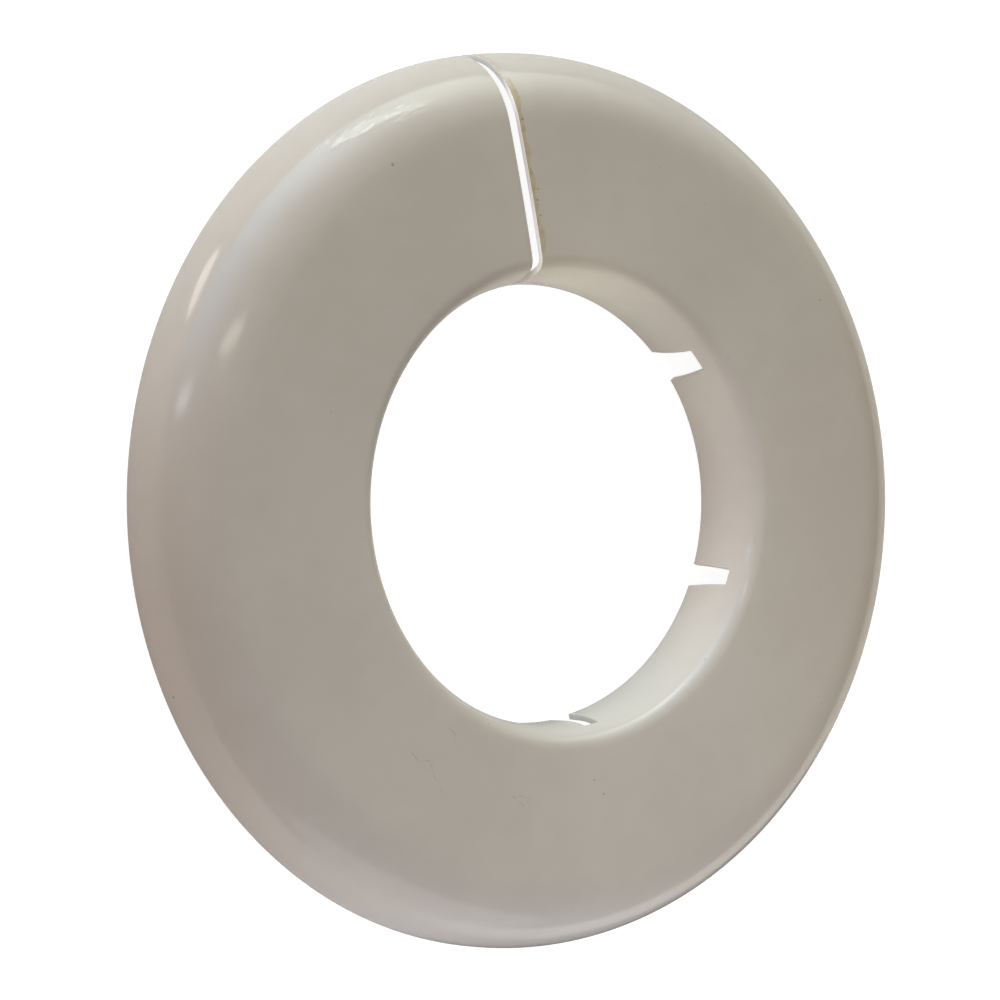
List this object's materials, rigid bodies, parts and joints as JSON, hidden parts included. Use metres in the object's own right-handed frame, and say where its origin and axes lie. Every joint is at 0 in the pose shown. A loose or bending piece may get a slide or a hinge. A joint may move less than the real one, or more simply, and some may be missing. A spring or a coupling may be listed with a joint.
{
  "type": "split escutcheon",
  "caption": "Domed plastic ring that springs open at a slit and closes round a pipe: the collar's fingers grip the pipe and the face hides the hole in the wall.",
  "frame": {"origin": "on the pipe's axis, in the plane of the wall on which the back rim rests", "axes": "+Z along the pipe, from the wall into the room; the slit lies at +Y"},
  "size_m": [0.1, 0.1, 0.0098],
  "materials": {
    "escutcheon": "warm white plastic, glossy as moulded"
  },
  "bodies": {
    "root": {"escutcheon": "escutcheon"}
  },
  "joints": []
}
